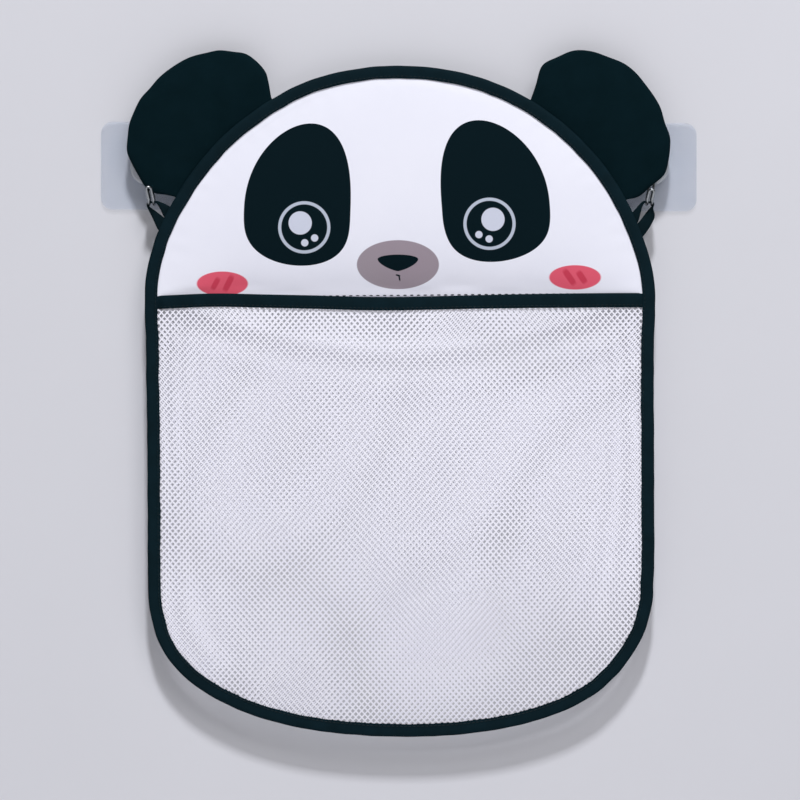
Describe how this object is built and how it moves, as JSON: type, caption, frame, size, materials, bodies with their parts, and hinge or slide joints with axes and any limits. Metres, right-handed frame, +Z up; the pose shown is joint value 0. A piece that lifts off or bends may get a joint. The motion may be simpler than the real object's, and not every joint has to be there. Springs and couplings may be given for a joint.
{
  "type": "bath toy organizer",
  "caption": "Wall-hung mesh pocket with a padded animal head and folding ears, held by strap loops on swivelling wire hooks with clear adhesive pads.",
  "frame": {"origin": "on the wall plane, midway between the pivots of the two hooks", "axes": "+Z up, +Y into the wall, the front faces -Y, +X to the right as seen from the front"},
  "size_m": [0.404, 0.036, 0.4674],
  "materials": {
    "adhesive": "clear tacky film",
    "clear_plastic": "clear, glossy",
    "steel_wire": "polished stainless wire",
    "white_cloth": "smooth woven, printed on the face",
    "padding": "soft foam or wadding",
    "white_mesh": "open knitted mesh",
    "black_tape": "woven tape",
    "black_cloth": "matt brushed cloth"
  },
  "bodies": {
    "wall_pads": {"adhesive_film_left": "adhesive", "clear_sheet_left": "clear_plastic", "hook_boss_left": "clear_plastic", "adhesive_film_right": "adhesive", "clear_sheet_right": "clear_plastic", "hook_boss_right": "clear_plastic"},
    "hook_left": {"hook_wire_left": "steel_wire"},
    "hook_right": {"hook_wire_right": "steel_wire"},
    "bag": {"face_panel": "white_cloth", "face_foam": "padding", "head_backing": "white_cloth", "back_mesh_panel": "white_mesh", "pocket_mesh": "white_mesh", "mouth_binding": "black_tape", "edge_binding": "black_tape", "strap_loop_left": "black_tape", "strap_loop_right": "black_tape", "ear_base_left": "black_cloth", "ear_base_right": "black_cloth"},
    "ear_left": {"ear_cover_left": "black_cloth", "ear_wadding_left": "padding"},
    "ear_right": {"ear_cover_right": "black_cloth", "ear_wadding_right": "padding"}
  },
  "joints": [
    {"name": "bag_hang", "type": "hinge", "parent": "hook_left", "child": "bag", "pos_m": [-0.172, -0.0123, -0.018], "axis": [1, 0, 0], "range_deg": [0, 35]},
    {"name": "hook_left_swivel", "type": "hinge", "parent": "wall_pads", "child": "hook_left", "pos_m": [-0.172, -0.0044, 0], "axis": [-1, 0, 0], "range_deg": [0, 35]},
    {"name": "hook_right_swivel", "type": "hinge", "parent": "wall_pads", "child": "hook_right", "pos_m": [0.172, -0.0044, 0], "axis": [-1, 0, 0], "range_deg": [0, 35]},
    {"name": "ear_left_fold", "type": "hinge", "parent": "bag", "child": "ear_left", "pos_m": [-0.133, -0.0175, 0.0205], "axis": [0.8617, 0, 0.5074], "range_deg": [0, 70], "stiffness_Nm_per_rad": 0.05},
    {"name": "ear_right_fold", "type": "hinge", "parent": "bag", "child": "ear_right", "pos_m": [0.133, -0.0175, 0.0205], "axis": [0.8617, 0, -0.5074], "range_deg": [0, 70], "stiffness_Nm_per_rad": 0.05}
  ],
  "couplings": [
    {"joint": "hook_left_swivel", "follows": "bag_hang", "ratio": 1},
    {"joint": "hook_right_swivel", "follows": "bag_hang", "ratio": 1}
  ]
}
